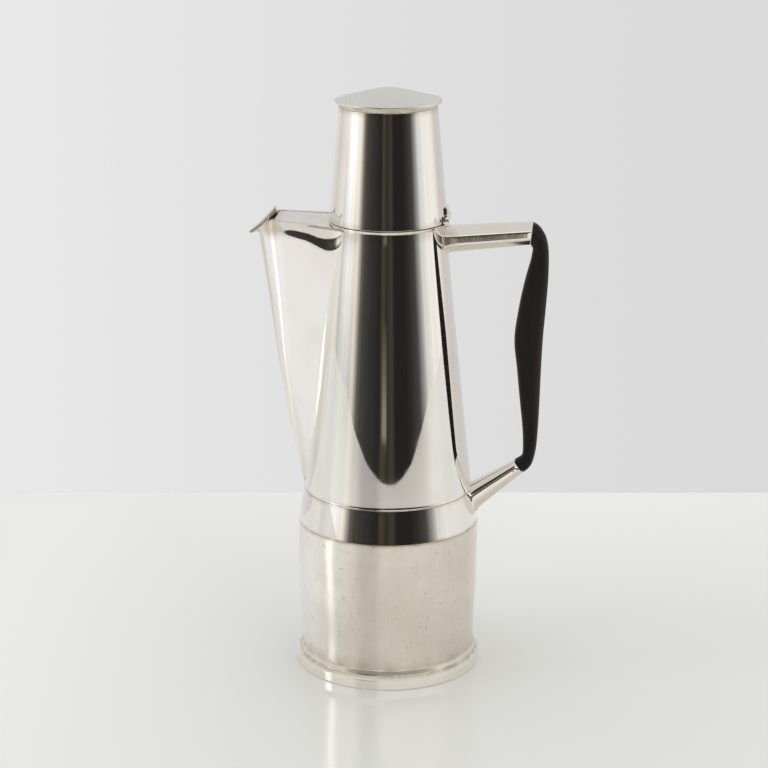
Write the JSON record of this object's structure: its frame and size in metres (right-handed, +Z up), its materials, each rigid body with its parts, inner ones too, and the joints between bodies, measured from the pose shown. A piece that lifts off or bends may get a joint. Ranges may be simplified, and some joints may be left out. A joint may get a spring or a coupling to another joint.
{
  "type": "coffee pot",
  "caption": "Tall tapered silver coffee pot with a wedge-shaped spout, a high hinged lid with a shallow pointed top, and a dark wood grip held by two tapered arms.",
  "frame": {"origin": "on the table plane, midway between the spout tip and the back of the grip, in the plane of spout and handle", "axes": "+Z up along the pot axis, -X towards the spout, +X towards the handle"},
  "size_m": [0.1402, 0.0888, 0.28],
  "materials": {
    "silver": "hand-polished silver, fine scratches, slight warm tarnish in the joints",
    "silver_inside": "dull unpolished silver",
    "dark_wood": "black-brown hardwood, satin, worn on the edges"
  },
  "bodies": {
    "pot": {"foot_ring": "silver", "base_disc": "silver_inside", "drum": "silver", "shoulder_band": "silver", "cone_body": "silver", "neck_rim": "silver", "strainer_plate": "silver_inside", "spout_shell": "silver", "spout_cover": "silver", "pouring_lip": "silver", "upper_socket": "silver", "lower_socket": "silver", "handle_grip": "dark_wood", "upper_grip_pin": "silver_inside", "lower_grip_pin": "silver_inside", "hinge_leaf_body": "silver", "hinge_pin": "silver_inside"},
    "lid": {"lid_wall": "silver", "lid_top": "silver", "lid_bezel": "silver_inside", "hinge_leaf_lid": "silver"}
  },
  "joints": [
    {"name": "lid_hinge", "type": "hinge", "parent": "pot", "child": "lid", "pos_m": [0.0226, 0, 0.2196], "axis": [0, 1, 0], "range_deg": [0, 95]}
  ]
}
